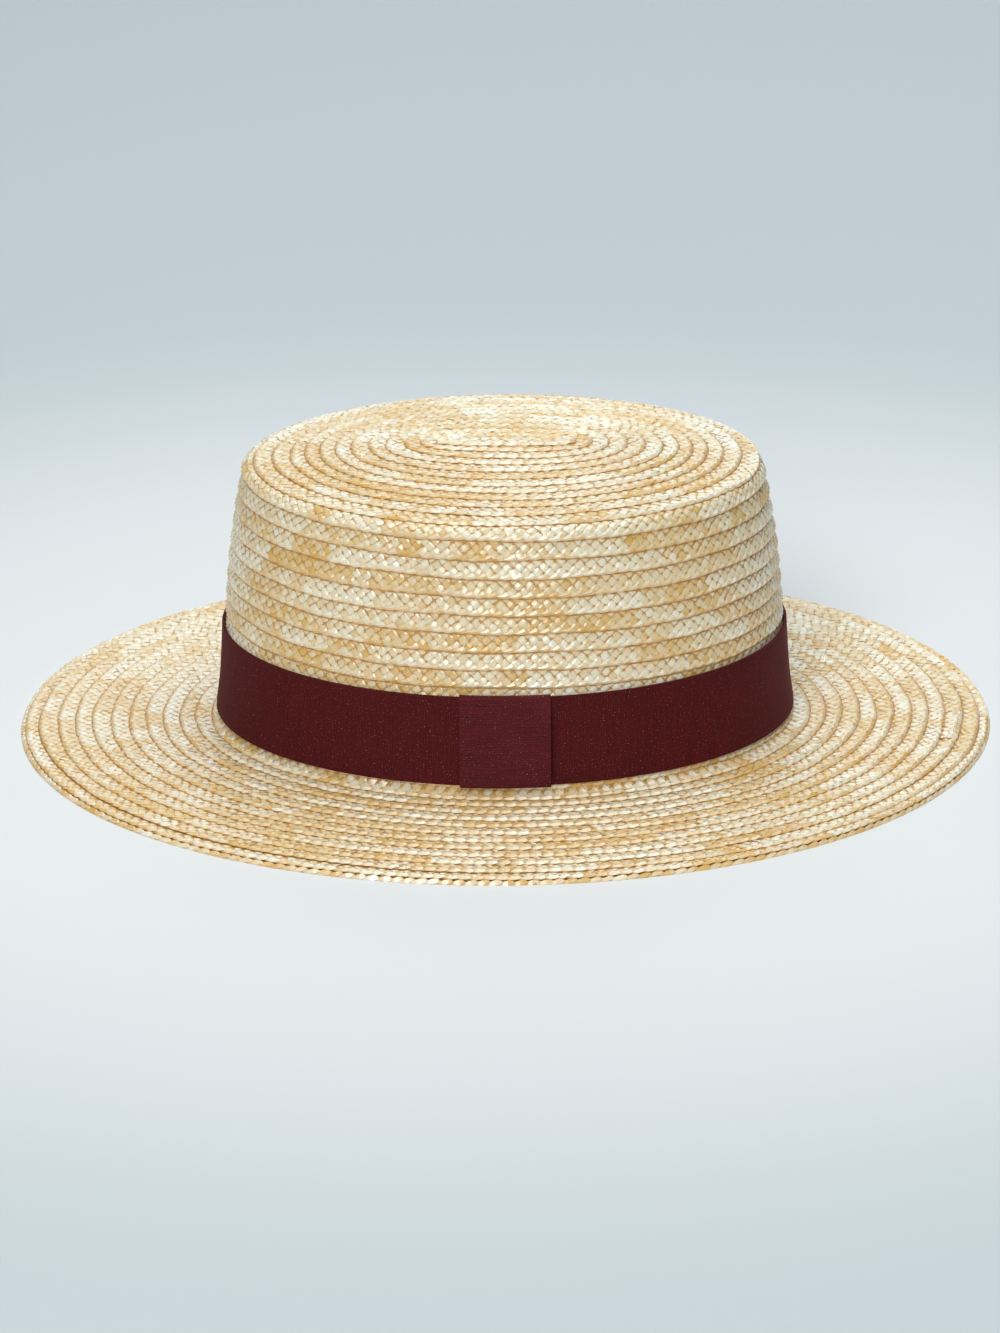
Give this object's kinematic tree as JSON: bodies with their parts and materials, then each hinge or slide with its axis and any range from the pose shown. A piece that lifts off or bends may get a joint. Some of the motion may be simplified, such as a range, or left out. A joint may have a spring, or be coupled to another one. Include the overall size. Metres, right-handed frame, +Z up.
{
  "type": "straw boater hat",
  "caption": "Straw boater hat: stiff oval crown with a flat domed tip, flat wide brim with a doubled edge, and a dark red ribbon band with a flat keeper loop.",
  "frame": {"origin": "on the surface that the hat rests on, below the middle of the brim", "axes": "+Z up through the crown, X along the hat's length (front to back on the head), the keeper on the -Y side"},
  "size_m": [0.35, 0.31, 0.107],
  "materials": {
    "straw": "natural plaited wheat straw, pale gold, slightly glossy",
    "ribbon": "wine red grosgrain ribbon, matt, fine upright ribs",
    "keeper": "the same grosgrain ribbon turned upright, so that its ribs lie level"
  },
  "bodies": {
    "root": {"crown": "straw", "brim": "straw", "brim_edge_row": "straw", "ribbon_band": "ribbon", "ribbon_keeper": "keeper"}
  },
  "joints": []
}
